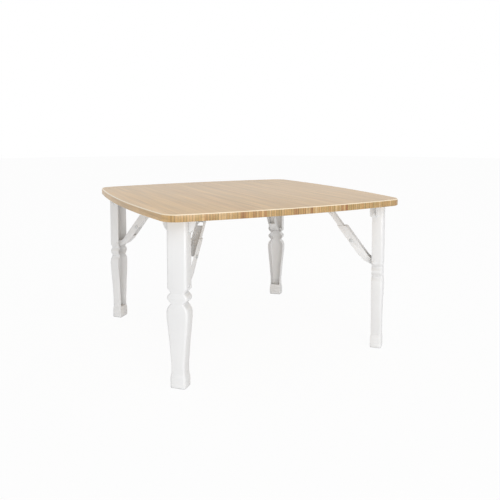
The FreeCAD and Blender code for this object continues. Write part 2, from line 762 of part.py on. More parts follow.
def make_leg_link_rivets(corner, turn):
    """Two stub rivets that carry the lower link between the leg walls."""
    name = "leg_link_rivets_" + corner
    out, height = link_pivot
    length, head = leg_half - lower_inner, size["head_height"]
    rivets = []
    for side, shank_from, head_from in (
        ("right", lower_inner, leg_half), ("left", -leg_half, -(leg_half + head))
    ):
        shank = cylinder(name + "_shank_" + side, size["pin_radius"], length, (out, shank_from, height))
        cap = cylinder(name + "_head_" + side, size["head_radius"], head, (out, head_from, height))
        rivets.append(joined("Part::MultiFuse", name + "_" + side, [shank, cap]))
    return finish(joined("Part::Compound", name, rivets), name, turn)


def make_spacer_bushes(corner, turn):
    name = "spacer_bushes_" + corner
    out, height = link_pivot
    start, stop = lower_outer + size["bush_end_gap"], leg_half_inside
    bushes = []
    for side, base in (("right", start), ("left", -stop)):
        outer = cylinder(name + "_outer_" + side, size["pin_radius"] + size["bush_wall"], stop - start,
                         (out, base, height))
        bore = cylinder(name + "_bore_" + side, size["pin_radius"], stop - start, (out, base, height))
        bushes.append(joined("Part::Cut", name + "_" + side, [outer, bore]))
    return finish(joined("Part::Compound", name, bushes), name, turn)


# Screws


def screw_shape():
    """Pan head screw, seated with its head just below z = 0 and its shank pointing up."""
    radius, head = float(size["screw_head_radius"]), float(size["screw_head_height"])
    shank, length = float(size["screw_radius"]), float(size["screw_length"])
    edge = head / 2
    profile = Part.Wire([
        Part.makeLine(vector(0, 0, -head), vector(radius / 2, 0, -head)),
        Part.Arc(vector(radius / 2, 0, -head), vector(radius - edge / 3, 0, -head + edge / 3),
                 vector(radius, 0, -edge)).toShape(),
        Part.makeLine(vector(radius, 0, -edge), vector(radius, 0, 0)),
        Part.makeLine(vector(radius, 0, 0), vector(shank, 0, 0)),
        Part.makeLine(vector(shank, 0, 0), vector(shank, 0, length - shank)),
        Part.makeLine(vector(shank, 0, length - shank), vector(0, 0, length)),
        Part.makeLine(vector(0, 0, length), vector(0, 0, -head)),
    ])
    screw = Part.Face(profile).revolve(FreeCAD.Vector(), FreeCAD.Vector(0, 0, 1), 360)
    screw = Part.Solid(screw) if screw.ShapeType == "Shell" else screw
    slot, depth = float(size["screw_slot_width"]), float(size["screw_slot_depth"])
    for long_x, long_y in ((radius, slot), (slot, radius)):
        recess = Part.makeBox(long_x, long_y, depth, vector(-long_x / 2, -long_y / 2, -head))
        screw = screw.cut(recess)
    return screw


def make_screws(label, places, turn):
    single = screw_shape()
    group = []
    for out, across in places:
        copy = single.copy()
        copy.translate(vector(out, across, plate_bottom))
        group.append(copy)
    screws = doc.addObject("Part::Feature", label)
    screws.Shape = Part.makeCompound(group)
    return finish(screws, label, turn)


parts = [make_tabletop()]
for corner, turn in CORNERS:
    parts += [
        make_leg(corner, turn),
        make_foot_cap(corner, turn),
        make_leg_bracket(corner, turn),
        make_leg_pivot_pin(corner, turn),
        make_lower_link(corner, turn),
        make_upper_link(corner, turn),
        make_leg_link_rivets(corner, turn),
        make_spacer_bushes(corner, turn),
        make_elbow_rivets(corner, turn),
        make_brace_bracket(corner, turn),
        make_brace_pin(corner, turn),
        make_screws("leg_bracket_screws_" + corner, leg_screw_places, turn),
        make_screws("brace_bracket_screws_" + corner, brace_screw_places, turn),
    ]
doc.recompute()

for item in doc.Objects:
    if "Invalid" in item.State or "Error" in item.State:
        raise RuntimeError("%s failed: %s" % (item.Label, item.State))
for part in parts:
    if part.Shape.isNull() or not part.Shape.isValid():
        raise RuntimeError("%s has no valid shape" % part.Label)
for part in parts:
    part.Shape.exportStep("parts/%s.step" % part.Label)
    print(part.Label, len(part.Shape.Solids), "solids, volume %.1f" % part.Shape.Volume)
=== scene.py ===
import json
from math import atan2, cos, pi, radians, sin, sqrt

import bmesh
import bpy
from bpy.props import FloatProperty, FloatVectorProperty, IntProperty, PointerProperty
from bpy.types import Operator, Panel, PropertyGroup
from mathutils import Matrix, Vector


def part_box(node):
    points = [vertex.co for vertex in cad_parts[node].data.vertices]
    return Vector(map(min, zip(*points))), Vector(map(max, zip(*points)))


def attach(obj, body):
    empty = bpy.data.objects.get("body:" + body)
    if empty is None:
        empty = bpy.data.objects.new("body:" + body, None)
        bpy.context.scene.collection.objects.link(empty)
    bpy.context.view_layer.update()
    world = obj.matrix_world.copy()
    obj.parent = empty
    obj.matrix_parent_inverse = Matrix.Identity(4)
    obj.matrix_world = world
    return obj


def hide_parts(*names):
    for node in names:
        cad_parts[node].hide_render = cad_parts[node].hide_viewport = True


bl_info = {
    "name": "Folding low table",
    "version": (1, 0, 0),
    "blender": (4, 5, 0),
    "location": "3D View > Sidebar > Table",
    "description": "Dresses a square low table on four folding column legs",
    "category": "Object",
}

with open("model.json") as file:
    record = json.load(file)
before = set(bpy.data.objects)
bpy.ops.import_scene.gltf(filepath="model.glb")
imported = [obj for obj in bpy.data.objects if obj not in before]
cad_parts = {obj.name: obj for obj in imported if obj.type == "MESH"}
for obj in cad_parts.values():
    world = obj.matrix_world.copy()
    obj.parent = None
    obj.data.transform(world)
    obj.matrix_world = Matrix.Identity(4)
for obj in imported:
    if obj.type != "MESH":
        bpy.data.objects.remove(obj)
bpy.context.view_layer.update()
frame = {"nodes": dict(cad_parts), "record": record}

# Corner names with the turn of their leg unit about the z axis.
# A unit is drawn with x outward along the diagonal and y across it, and is then turned to its corner.
CORNERS = (("front_left", 225), ("front_right", 315), ("back_right", 45), ("back_left", 135))
MEASURED, MEASURED_TURN = CORNERS[2]
UP = Vector((0, 0, 1))
WHOLE_RING_SHARE = 0.7
SAME_PLACE = 0.00001  # closer points or levels than this count as one


def unit_points(stem):
    """Vertices of one corner's copy of a node, turned back so that x runs outward."""
    node = frame["nodes"]["%s_%s" % (stem, MEASURED)]
    back = Matrix.Rotation(radians(-MEASURED_TURN), 4, "Z")
    return [back @ vertex.co for vertex in node.data.vertices]


def level_sections(stem):
    """Whole rings of an upright node, from the bottom up: (height, inner end, outer end, half width)."""
    levels = {}
    for point in unit_points(stem):
        place = round(point.x, 5), round(point.y, 5)
        levels.setdefault(round(point.z, 4), set()).add(place)
    whole = len(levels[min(levels)]) * WHOLE_RING_SHARE
    rows = []
    for height, ring in sorted(levels.items()):
        if len(ring) > whole:
            across, width = [place[0] for place in ring], [place[1] for place in ring]
            rows.append((height, min(across), max(across), max(width)))
    return rows


# Settings


class BoardSettings(PropertyGroup):
    """Sizes and colours of the board."""

    bow_radius: FloatProperty(
        name="Bow radius", description="Radius of the slightly bowed sides", default=1.92, unit="LENGTH"
    )
    corner_radius: FloatProperty(
        name="Corner radius", description="Rounded corners in plan", default=0.035, unit="LENGTH"
    )
    top_round: FloatProperty(
        name="Upper arris", description="Rounding of the upper rim", default=0.0025, unit="LENGTH"
    )
    bottom_round: FloatProperty(
        name="Lower arris", description="Rounding of the lower rim", default=0.0012, unit="LENGTH"
    )
    side_steps: IntProperty(
        name="Side steps", description="Straight steps along a bowed side",
        default=24,
    )
    corner_steps: IntProperty(
        name="Corner steps", description="Straight steps round a corner",
        default=14,
    )
    strip_width: FloatProperty(
        name="Strip width", description="Width of one bamboo strip", default=0.0056, unit="LENGTH"
    )
    pale: FloatVectorProperty(
        name="Pale strip", description="Palest bamboo", subtype="COLOR", default=(0.745, 0.52, 0.268)
    )
    golden: FloatVectorProperty(
        name="Golden strip", description="Usual bamboo", subtype="COLOR", default=(0.60, 0.365, 0.14)
    )
    olive: FloatVectorProperty(
        name="Olive strip", description="Greenish bamboo", subtype="COLOR", default=(0.51, 0.35, 0.14)
    )
    russet: FloatVectorProperty(
        name="Russet strip", description="Darkest, reddish bamboo", subtype="COLOR",
        default=(0.36, 0.135, 0.045),
    )
    # Painted highlight: a near-white colour on the rounded upper rim stands in for the light that the rim
    # catches.
    arris_highlight: FloatVectorProperty(
        name="Painted arris highlight", description="Bamboo on the rounded upper rim", subtype="COLOR",
        default=(0.97, 0.85, 0.65),
    )
    bare: FloatVectorProperty(
        name="Bare underside", description="Unfinished bamboo under the board", subtype="COLOR",
        default=(0.70, 0.57, 0.41),
    )


class SteelSettings(PropertyGroup):
    """Sizes and colours of the legs, braces and fixings."""

    leg_wall: FloatProperty(
        name="Leg wall", description="Sheet thickness of the legs", default=0.0012, unit="LENGTH"
    )
    leg_corner: FloatProperty(
        name="Leg corner", description="Rounded outer edges of the legs", default=0.005, unit="LENGTH"
    )
    profile_round: FloatProperty(
        name="Profile rounding", description="Softness of the pressed profile",
        default=0.0004, unit="LENGTH",
    )
    cap_rim: FloatProperty(
        name="Cap rim", description="How much the rim of a foot cap is drawn in on the leg",
        default=0.00045,
        unit="LENGTH",
    )
    cap_recess: FloatProperty(
        name="Cap recess", description="How far the cap is hollowed inside the leg",
        default=0.002, unit="LENGTH",
    )
    sole_chamfer: FloatProperty(
        name="Sole chamfer", description="Chamfer round the sole of a foot cap",
        default=0.002, unit="LENGTH",
    )
    cap_round: FloatProperty(
        name="Cap rounding", description="Softness of the moulded edges of a foot cap", default=0.0003,
        unit="LENGTH",
    )
    # Painted contact shadow: the foot caps are darkened in a thin band at the floor, and this sets its
    # height.
    sole_line: FloatProperty(
        name="Sole line", description="Height of the dark rubber line at the floor", default=0.0018,
        unit="LENGTH",
    )
    sheet_round: FloatProperty(
        name="Sheet rounding", description="Softness of cut sheet edges", default=0.00025, unit="LENGTH"
    )
    rivet_round: FloatProperty(
        name="Rivet rounding", description="Domed rim of the rivet heads", default=0.0009, unit="LENGTH"
    )
    enamel: FloatVectorProperty(
        name="Enamel", description="White baked enamel", subtype="COLOR", default=(0.80, 0.80, 0.80)
    )
    plastic: FloatVectorProperty(
        name="Plastic", description="Foot caps and bushes", subtype="COLOR", default=(0.80, 0.80, 0.80)
    )
    plating: FloatVectorProperty(
        name="Plating", description="Plated pins, rivets and screws", subtype="COLOR",
        default=(0.62, 0.62, 0.61),
    )
    # Colour of the painted contact shadow at the foot of each cap.
    sole_shadow: FloatVectorProperty(
        name="Painted sole shadow", description="Sole of the foot caps", subtype="COLOR", default=(0.16, 0.16, 0.16)
    )


class StageSettings(PropertyGroup):
    """Camera, floor and light."""

    camera_place: FloatVectorProperty(
        name="Camera place", description="Where the camera stands", subtype="TRANSLATION",
        default=(-0.61613, -1.30613, 0.51333),
    )
    camera_turn: FloatProperty(
        name="Camera turn", description="Turn to the right of +Y", subtype="ANGLE", default=0.4607
    )
    camera_tilt: FloatProperty(
        name="Camera tilt", description="Tilt below the horizon", subtype="ANGLE", default=0.07844
    )
    focal_share: FloatProperty(
        name="Focal share", description="Focal length as a share of the frame's width",
        default=582.27 / 500,
    )
    shift: FloatProperty(name="Shift", description="Vertical shift of the lens", default=-0.155)
    floor_radius: FloatProperty(
        name="Floor radius", description="Radius of the round floor", default=9.0, unit="LENGTH"
    )
    floor_white: FloatProperty(
        name="Floor white", description="How far the floor is plain white to the eye", default=0.94
    )
    sky: FloatProperty(name="Sky", description="Strength of the even light from all round", default=0.60)
    key: FloatProperty(name="Key", description="Power of the round lamp above the front", default=28.0)
    key_place: FloatVectorProperty(
        name="Key place", description="Where the round lamp hangs", subtype="TRANSLATION",
        default=(-0.4, -3.0, 2.8),
    )
    key_size: FloatProperty(
        name="Key size", description="Width of the round lamp",
        default=2.4, unit="LENGTH"
    )
    strip: FloatProperty(name="Strip", description="Power of the long low lamp in front", default=380.0)
    strip_place: FloatVectorProperty(
        name="Strip place", description="Where the long lamp stands", subtype="TRANSLATION",
        default=(-2.1, -9.7, 0.62),
    )
    strip_length: FloatProperty(
        name="Strip length", description="Length of the long lamp", default=8.4, unit="LENGTH"
    )
    strip_height: FloatProperty(
        name="Strip height", description="Height of the long lamp", default=1.2, unit="LENGTH"
    )
    lamp_aim: FloatVectorProperty(
        name="Lamp aim", description="Where the lamps point", subtype="TRANSLATION",
        default=(0.0, 0.0, 0.25),
    )


# Materials


class Finish:
    """A material whose nodes are added and wired one at a time."""

    def __init__(self, name):
        self.material = bpy.data.materials.new(name)
        self.material.use_nodes = True
        self.tree = self.material.node_tree
        self.shader = self.tree.nodes["Principled BSDF"]

    def feed(self, socket, value):
        if isinstance(value, bpy.types.NodeSocket):
            self.tree.links.new(value, socket)
        else:
            socket.default_value = value

    def node(self, kind, values, **settings):
        """Add a node; values go to its inputs by name or place, as numbers or as links."""
        node = self.tree.nodes.new("ShaderNode" + kind)
        for setting, choice in settings.items():
            setattr(node, setting, choice)
        for key, value in values.items():
            self.feed(node.inputs[key], value)
        return node

    def math(self, operation, first, second=0.0):
        return self.node("Math", {0: first, 1: second}, operation=operation).outputs[0]

    def place(self, stretch=(1, 1, 1)):
        """The object's own coordinates, stretched along each axis."""
        place = self.node("TexCoord", {}).outputs["Object"]
        return self.node("VectorMath", {0: place, 1: stretch}, operation="MULTIPLY").outputs[0]

    def noise(self, vector, scale, detail=2.0, roughness=0.5):
        values = {"Vector": vector, "Scale": scale, "Detail": detail, "Roughness": roughness}
        return self.node("TexNoise", values).outputs["Fac"]

    def between(self, value, low, high, first=0.0, last=1.0):
        """Move a value from one range to another, clamped."""
        values = {"Value": value, "From Min": low, "From Max": high, "To Min": first, "To Max": last}
        return self.node("MapRange", values).outputs["Result"]

    def spread(self, noise, low=0.0, high=1.0):
        """Spread the middle of a noise, where nearly all its values lie, over a range."""
        return self.between(noise, 0.3, 0.7, low, high)

    def darken(self, tone, share):
        """Take a share off a tone."""
        return self.math("MULTIPLY", tone, self.math("SUBTRACT", 1.0, share))

    def blend(self, factor, first, second, blend_type="MIX"):
        """Mix two colours."""
        node = self.node("Mix", {}, data_type="RGBA", blend_type=blend_type)
        for place, value in ((0, factor), (6, first), (7, second)):
            self.feed(node.inputs[place], value)
        return node.outputs[2]

    def ramp(self, value, stops):
        """A colour for the value, between stops of (place, colour)."""
        node = self.node("ValToRGB", {"Fac": value})
        points = node.color_ramp.elements
        while len(points) < len(stops):
            points.new(0.5)
        for point, (position, colour) in zip(points, stops):
            point.position = position
            point.color = colour
        return node.outputs["Color"]

    def bump(self, height, distance, strength=1.0):
        values = {"Height": height, "Distance": distance, "Strength": strength}
        self.feed(self.shader.inputs["Normal"], self.node("Bump", values).outputs["Normal"])

    def surface(self, **values):
        """Set inputs of the main shader; an underscore stands for a space."""
        for name, value in values.items():
            self.feed(self.shader.inputs[name.replace("_", " ")], value)
        return self.material


def opaque(colour):
    return (*colour, 1.0)


def grey(value):
    return (value, value, value, 1.0)


def bamboo_finish(settings):
    """Narrow glued strips with their grain along Y, under a satin lacquer."""
    look = Finish("laminated_bamboo")
    knuckle_spacing, knuckle_offset = 0.26, 9.0
    axes = look.node("SeparateXYZ", {0: look.place()}).outputs
    normal = look.node("SeparateXYZ", {0: look.node("TexCoord", {}).outputs["Normal"]}).outputs
    # Which side of the board a point is on
    end_grain = look.between(look.math("ABSOLUTE", normal["Y"]), 0.45, 0.8)
    side_grain = look.between(look.math("ABSOLUTE", normal["X"]), 0.45, 0.8)
    face = look.math("SUBTRACT", 1.0, look.math("MAXIMUM", end_grain, side_grain))
    across = look.math("SUBTRACT", 1.0, side_grain)
    arris = look.math("MULTIPLY", look.between(normal["Z"], 0.15, 0.5),
                      look.between(normal["Z"], 0.9, 0.98, 1.0, 0.0))
    under = look.between(normal["Z"], -0.9, -0.5, 1.0, 0.0)

    # Strips across the board, each with its own colour
    strips = look.math("DIVIDE", axes["X"], settings.strip_width)
    number = look.math("FLOOR", strips)
    inside = look.math("FRACT", strips)
    chance = look.node("TexWhiteNoise", {"W": number}, noise_dimensions="1D").outputs["Value"]
    aside = look.math("ADD", number, 0.37)
    other = look.node("TexWhiteNoise", {"W": aside}, noise_dimensions="1D").outputs["Value"]
    groups = look.noise(look.place((1, 0, 0)), 40.0, 1.0)
    shade = look.math("ADD", look.math("MULTIPLY", chance, 0.6), look.math("MULTIPLY", groups, 0.4))
    strip_colour = look.ramp(shade, (
        (0.16, opaque(settings.russet)), (0.30, opaque(settings.golden)), (0.42, opaque(settings.olive)),
        (0.56, opaque(settings.golden)), (0.85, opaque(settings.pale)),
    ))
    calm = look.blend(0.6, opaque(settings.pale), opaque(settings.golden))
    share = look.math("ADD", look.math("MULTIPLY", end_grain, 0.95), look.math("MULTIPLY", face, 0.22))
    colour = look.blend(share, calm, strip_colour)
    colour = look.blend(look.math("MULTIPLY", under, 0.7), colour, opaque(settings.bare))

    # Fibres, streaks and slow changes along the grain, and plies on the long-grain edges
    fibres = look.noise(look.place((1, 0.014, 1)), 520.0, 3.0, 0.65)
    streaks = look.noise(look.place((1, 0.05, 1)), 75.0, 3.0)
    drift = look.noise(look.place((1, 0.35, 1)), 7.0, 2.0)
    plies = look.noise(look.place((0, 0.02, 1)), 330.0, 1.0)
    tone = look.math("MULTIPLY", look.spread(fibres, 0.84, 1.15),
                     look.spread(streaks, 0.87, 1.11))
    tone = look.math("MULTIPLY", tone, look.spread(drift, 0.96, 1.04))
    tone = look.darken(tone, look.math(
        "MULTIPLY", side_grain, look.between(plies, 0.35, 0.65, 0.24, 0.0)))

    # Denser outer skin of each strip, and the glue lines
    skin = look.math("MULTIPLY", look.between(inside, 0.45, 0.95), end_grain)
    skin = look.math("MULTIPLY", skin, look.between(other, 0.1, 0.9, 0.05, 0.5))
    tone = look.math("MULTIPLY", tone, look.math("SUBTRACT", 1.02, skin))
    tone = look.darken(tone, look.math("MULTIPLY", end_grain, 0.145))
    gap = look.math("MINIMUM", inside, look.math("SUBTRACT", 1.0, inside))
    glue = look.math("MULTIPLY", look.between(gap, 0.02, 0.07, 1.0, 0.0), across)
    tone = look.darken(tone, look.math("MULTIPLY", glue, look.between(face, 0.0, 1.0, 0.3, 0.07)))

    # Knuckles of the cane across each strip
    along = look.math("ADD", look.math("DIVIDE", axes["Y"], knuckle_spacing),
                      look.math("MULTIPLY", chance, knuckle_offset))
    knuckle = look.math("ABSOLUTE", look.math("SUBTRACT", look.math("FRACT", along), 0.5))
    knuckle = look.math("MULTIPLY", look.between(knuckle, 0.003, 0.009, 1.0, 0.0), face)
    colour = look.blend(look.math("MULTIPLY", knuckle, 0.25), colour, opaque(settings.russet))

    # Open pores on the end grain, then all of it put together
    pores = look.noise(look.place(), 1500.0, 1.0)
    dots = look.math("MULTIPLY", look.between(pores, 0.60, 0.72), end_grain)
    tone = look.darken(tone, look.math("MULTIPLY", dots, 0.2))
    colour = look.blend(1.0, colour, look.node("CombineColor", {0: tone, 1: tone, 2: tone}).outputs[0],
                        "MULTIPLY")
    # Painted highlight: the near-white rim colour is blended over the bamboo on the rounded upper rim.
    colour = look.blend(look.math("MULTIPLY", arris, 0.95), colour, opaque(settings.arris_highlight))
    height = look.math("SUBTRACT", look.math("MULTIPLY", fibres, 0.4), look.math("MULTIPLY", glue, 0.6))
    look.bump(height, 0.00012, 0.5)
    rough = look.math("SUBTRACT", look.spread(fibres, 0.36, 0.46),
                      look.math("MULTIPLY", arris, 0.2))
    return look.surface(Base_Color=colour, Roughness=rough, Coat_Weight=0.25, Coat_Roughness=0.2)


def enamel_finish(settings):
    """White baked enamel over pressed steel, with a faint orange-peel skin."""
    look = Finish("white_enamel")
    cloud = look.noise(look.place(), 9.0, 2.0)
    peel = look.noise(look.place(), 700.0, 2.0)
    tint = look.blend(look.spread(cloud), opaque(settings.enamel),
                      opaque([share * 0.965 for share in settings.enamel]))
    look.bump(peel, 0.00006, 0.35)
    return look.surface(Base_Color=tint, Roughness=look.spread(peel, 0.36, 0.46),
                        Coat_Weight=0.15, Coat_Roughness=0.15)


def plastic_finish(settings):
    """Moulded white plastic with a fine matt grain."""
    look = Finish("white_plastic")
    grain = look.noise(look.place(), 1400.0, 2.0)
    cloud = look.noise(look.place(), 60.0, 2.0)
    tint = look.blend(look.spread(cloud), opaque(settings.plastic),
                      opaque([share * 0.97 for share in settings.plastic]))
    # Painted contact shadow: the cap turns near black in a thin band just above the floor, fading out
    # upward.
    height = look.node("SeparateXYZ", {0: look.place()}).outputs["Z"]
    sole = look.between(height, settings.sole_line / 2, settings.sole_line, 0.8, 0.0)
    tint = look.blend(sole, tint, opaque(settings.sole_shadow))
    look.bump(grain, 0.00008, 0.5)
    return look.surface(Base_Color=tint, Roughness=look.spread(cloud, 0.5, 0.6))


def plating_finish(settings):
    """Zinc-plated steel, slightly clouded."""
    look = Finish("plated_steel")
    cloud = look.noise(look.place(), 260.0, 3.0)
    scratch = look.noise(look.place((1, 1, 0.1)), 900.0, 2.0)
    tint = look.blend(look.spread(cloud), opaque(settings.plating),
                      opaque([share * 0.86 for share in settings.plating]))
    look.bump(scratch, 0.00004, 0.4)
    return look.surface(Base_Color=tint, Metallic=1.0, Roughness=look.spread(cloud, 0.28, 0.42))


FINISHES = {
    "bamboo": (bamboo_finish, "board"),
    "white_enamel": (enamel_finish, "steel"),
    "white_plastic": (plastic_finish, "steel"),
    "plated_steel": (plating_finish, "steel"),
}


def finish_named(name):
    """The material of that name, made on first use."""
    maker, group = FINISHES[name]
    key = "made_" + name
    if key not in finish_cache:
        finish_cache[key] = maker(getattr(bpy.context.scene.low_table, group))
    return finish_cache[key]


finish_cache = {}


# Modelling


def deselect_all():
    if bpy.context.object and bpy.context.object.mode != "OBJECT":
        bpy.ops.object.mode_set(mode="OBJECT")
    bpy.ops.object.select_all(action="DESELECT")


def make_active(piece):
    deselect_all()
    piece.select_set(True)
    bpy.context.view_layer.objects.active = piece


def edit(piece, kind):
    """Go into edit mode with nothing selected; kind is VERT, EDGE or FACE."""
    make_active(piece)
    bpy.ops.object.mode_set(mode="EDIT")
    bpy.ops.mesh.select_mode(type=kind)
    bpy.ops.mesh.select_all(action="DESELECT")


def pick(piece, kind, test):
    """Select only the vertices, edges or faces that pass a test."""
    mesh = bmesh.from_edit_mesh(piece.data)
    bpy.ops.mesh.select_all(action="DESELECT")
    bpy.ops.mesh.select_mode(type=kind)
    items = {"VERT": mesh.verts, "EDGE": mesh.edges, "FACE": mesh.faces}[kind]
    for item in items:
        if test(item):
            item.select_set(True)
    mesh.select_flush_mode()
    bmesh.update_edit_mesh(piece.data)


def leave_edit():
    bpy.ops.object.mode_set(mode="OBJECT")


def modify(piece, kind, **settings):
    """Add a modifier and apply it."""
    make_active(piece)
    modifier = piece.modifiers.new(kind.title(), kind)
    for name, value in settings.items():
        setattr(modifier, name, value)
    bpy.ops.object.modifier_apply(modifier=modifier.name)


def smooth(piece, angle):
    make_active(piece)
    bpy.ops.object.shade_smooth_by_angle(angle=radians(angle))


def middle_of(edge):
    return (edge.verts[0].co + edge.verts[1].co) / 2


def lies_at(edge, height):
    return all(abs(vert.co.z - height) < SAME_PLACE for vert in edge.verts)


def dress(piece, name, finish, body, node):
    """Name a finished piece, give it its finish and let it stand for a node on its body."""
    piece.name = piece.data.name = name
    piece.data.materials.clear()
    piece.data.materials.append(finish_named(finish))
    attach(piece, body)
    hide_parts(node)


def body_of_node(node):
    bodies = frame["record"]["behaviour"]["bodies"]
    return next(body for body, nodes in bodies.items() if node in nodes)


def set_at_corners(piece, stem, finish):
    """Copy a piece drawn in the unit to every corner, each copy with its own mesh."""
    for corner, turn in CORNERS:
        make_active(piece)
        bpy.ops.object.duplicate()
        copy = bpy.context.object
        copy.rotation_euler = (0, 0, radians(turn))
        bpy.ops.object.transform_apply(location=True, rotation=True, scale=True)
        node = "%s_%s" % (stem, corner)
        dress(copy, "shown_" + node, finish, body_of_node(node), node)
    bpy.data.objects.remove(piece)


class BuildOperator:
    """Common part of the operators that build pieces."""

    bl_options = {"REGISTER", "UNDO"}


class TABLE_OT_board(BuildOperator, Operator):
    """Build the bowed, rounded bamboo board"""

    bl_idname = "low_table.board"
    bl_label = "Board"

    def execute(self, context):
        size = context.scene.low_table.board
        low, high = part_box("tabletop_panel")
        half = high.x
        bow = size.bow_radius - half
        corner = sqrt(((size.bow_radius - size.corner_radius) ** 2 - bow ** 2 / 2) / 2) - bow / 2
        lean = atan2(corner, corner + bow)

        start = Vector((size.bow_radius * cos(lean) - bow, -size.bow_radius * sin(lean), low.z))
        deselect_all()
        bpy.ops.mesh.primitive_plane_add(size=size.corner_radius, location=start)
        board = bpy.context.object
        bpy.ops.object.transform_apply(location=True, rotation=True, scale=True)
        bpy.ops.object.mode_set(mode="EDIT")
        bpy.ops.mesh.select_all(action="SELECT")
        bpy.ops.mesh.merge(type="CENTER")
        for quarter in range(4):
            turn = Matrix.Rotation(quarter * pi / 2, 3, "Z")
            bpy.ops.mesh.spin(steps=size.side_steps, angle=-2 * lean, axis=UP,
                              center=turn @ Vector((-bow, 0, low.z)))
            bpy.ops.mesh.spin(steps=size.corner_steps, angle=2 * lean - pi / 2, axis=UP,
                              center=turn @ Vector((corner, corner, low.z)))
        bpy.ops.mesh.select_all(action="SELECT")
        bpy.ops.mesh.remove_doubles(threshold=SAME_PLACE)
        bpy.ops.mesh.select_all(action="SELECT")
        bpy.ops.mesh.edge_face_add()
        bpy.ops.mesh.extrude_region_move(TRANSFORM_OT_translate={"value": (0, 0, high.z - low.z)})
        for height, width, steps in ((high.z, size.top_round, 5), (low.z, size.bottom_round, 3)):
            pick(board, "EDGE", lambda edge: lies_at(edge, height))
            bpy.ops.mesh.bevel(offset=width, segments=steps, profile=0.5)
        bpy.ops.mesh.select_all(action="SELECT")
        bpy.ops.mesh.normals_make_consistent(inside=False)
        leave_edit()
        smooth(board, angle=40)
        dress(board, "shown_board", "bamboo", "table", "tabletop_panel")
        return {"FINISHED"}


class TABLE_OT_legs(BuildOperator, Operator):
    """Press the four column legs from sheet, open towards the table centre"""

    bl_idname = "low_table.legs"
    bl_label = "Legs"

    def execute(self, context):
        size = context.scene.low_table.steel
        rows = level_sections("leg")
        height, inner, outer, half = rows[-1]
        deselect_all()
        bpy.ops.mesh.primitive_plane_add(size=1, location=((inner + outer) / 2, 0, height))
        leg = bpy.context.object
        leg.scale = (outer - inner, 2 * half, 1)
        bpy.ops.object.transform_apply(location=True, rotation=True, scale=True)
        edit(leg, "EDGE")
        bpy.ops.mesh.select_all(action="SELECT")
        bpy.ops.mesh.delete(type="ONLY_FACE")
        pick(leg, "EDGE", lambda edge: abs(middle_of(edge).x - inner) < SAME_PLACE)
        bpy.ops.mesh.delete(type="EDGE")
        pick(leg, "VERT", lambda vert: abs(vert.co.x - outer) < SAME_PLACE)
        bpy.ops.mesh.bevel(offset=size.leg_corner, segments=7, profile=0.5, affect="VERTICES")
        bpy.ops.mesh.select_all(action="SELECT")
        for low, back, front, width in reversed(rows[:-1]):
            bpy.ops.mesh.extrude_region_move(TRANSFORM_OT_translate={"value": (0, 0, low - height)})
            bpy.ops.transform.resize(value=((front - inner) / (outer - inner), width / half, 1),
                                     center_override=(inner, 0, low))
            height, outer, half = low, front, width
        leave_edit()
        leg_normals_out(leg)
        modify(leg, "SOLIDIFY", thickness=size.leg_wall, offset=-1, use_even_offset=True)
        modify(leg, "BEVEL", width=size.profile_round, segments=2, limit_method="ANGLE",
               angle_limit=radians(22))
        smooth(leg, angle=35)
        set_at_corners(leg, "leg", "white_enamel")
        return {"FINISHED"}


def leg_normals_out(leg):
    """Turn the faces of the open shell the same way, away from the axis of the leg."""
    edit(leg, "FACE")
    bpy.ops.mesh.select_all(action="SELECT")
    bpy.ops.mesh.normals_make_consistent(inside=False)
    mesh = bmesh.from_edit_mesh(leg.data)
    front = max(mesh.faces, key=lambda face: face.calc_center_median().x)
    if front.normal.x < 0:
        bpy.ops.mesh.flip_normals()
    leave_edit()


class TABLE_OT_foot_caps(BuildOperator, Operator):
    """Mould the foot caps with their two lines and tapered rim"""

    bl_idname = "low_table.foot_caps"
    bl_label = "Foot caps"

    def execute(self, context):
        size = context.scene.low_table.steel
        rows = level_sections("foot_cap")
        height, inner, outer, half = rows[-1]
        rows[-1] = height, inner + size.cap_rim, outer - size.cap_rim, half - size.cap_rim
        height, inner, outer, half = rows[0]
        deselect_all()
        bpy.ops.mesh.primitive_plane_add(size=1, location=((inner + outer) / 2, 0, height))
        cap = bpy.context.object
        cap.scale = (outer - inner, 2 * half, 1)
        bpy.ops.object.transform_apply(location=True, rotation=True, scale=True)
        edit(cap, "VERT")
        pick(cap, "VERT", lambda vert: abs(vert.co.x - outer) < SAME_PLACE)
        bpy.ops.mesh.bevel(offset=size.leg_corner, segments=5, profile=0.5, affect="VERTICES")
        pick(cap, "VERT", lambda vert: abs(vert.co.x - inner) < SAME_PLACE)
        bpy.ops.mesh.bevel(offset=size.leg_wall, segments=3, profile=0.5, affect="VERTICES")
        pick(cap, "FACE", lambda face: True)
        for high, back, front, width in rows[1:]:
            bpy.ops.mesh.extrude_region_move(TRANSFORM_OT_translate={"value": (0, 0, high - height)})
            middle, next_middle = (inner + outer) / 2, (back + front) / 2
            bpy.ops.transform.resize(value=((front - back) / (outer - inner), width / half, 1),
                                     center_override=(middle, 0, high))
            bpy.ops.transform.translate(value=(next_middle - middle, 0, 0))
            height, inner, outer, half = high, back, front, width
        bpy.ops.mesh.inset(thickness=size.cap_rim / 3)
        bpy.ops.mesh.extrude_region_move(TRANSFORM_OT_translate={"value": (0, 0, -size.cap_recess)})
        sole = rows[0][0]
        pick(cap, "EDGE", lambda edge: lies_at(edge, sole))
        bpy.ops.mesh.bevel(offset=size.sole_chamfer, segments=2, profile=0.5)
        bpy.ops.mesh.select_all(action="SELECT")
        bpy.ops.mesh.normals_make_consistent(inside=False)
        leave_edit()
        modify(cap, "BEVEL", width=size.cap_round, segments=2, limit_method="ANGLE",
               angle_limit=radians(25))
        smooth(cap, angle=35)
        set_at_corners(cap, "foot_cap", "white_plastic")
        return {"FINISHED"}


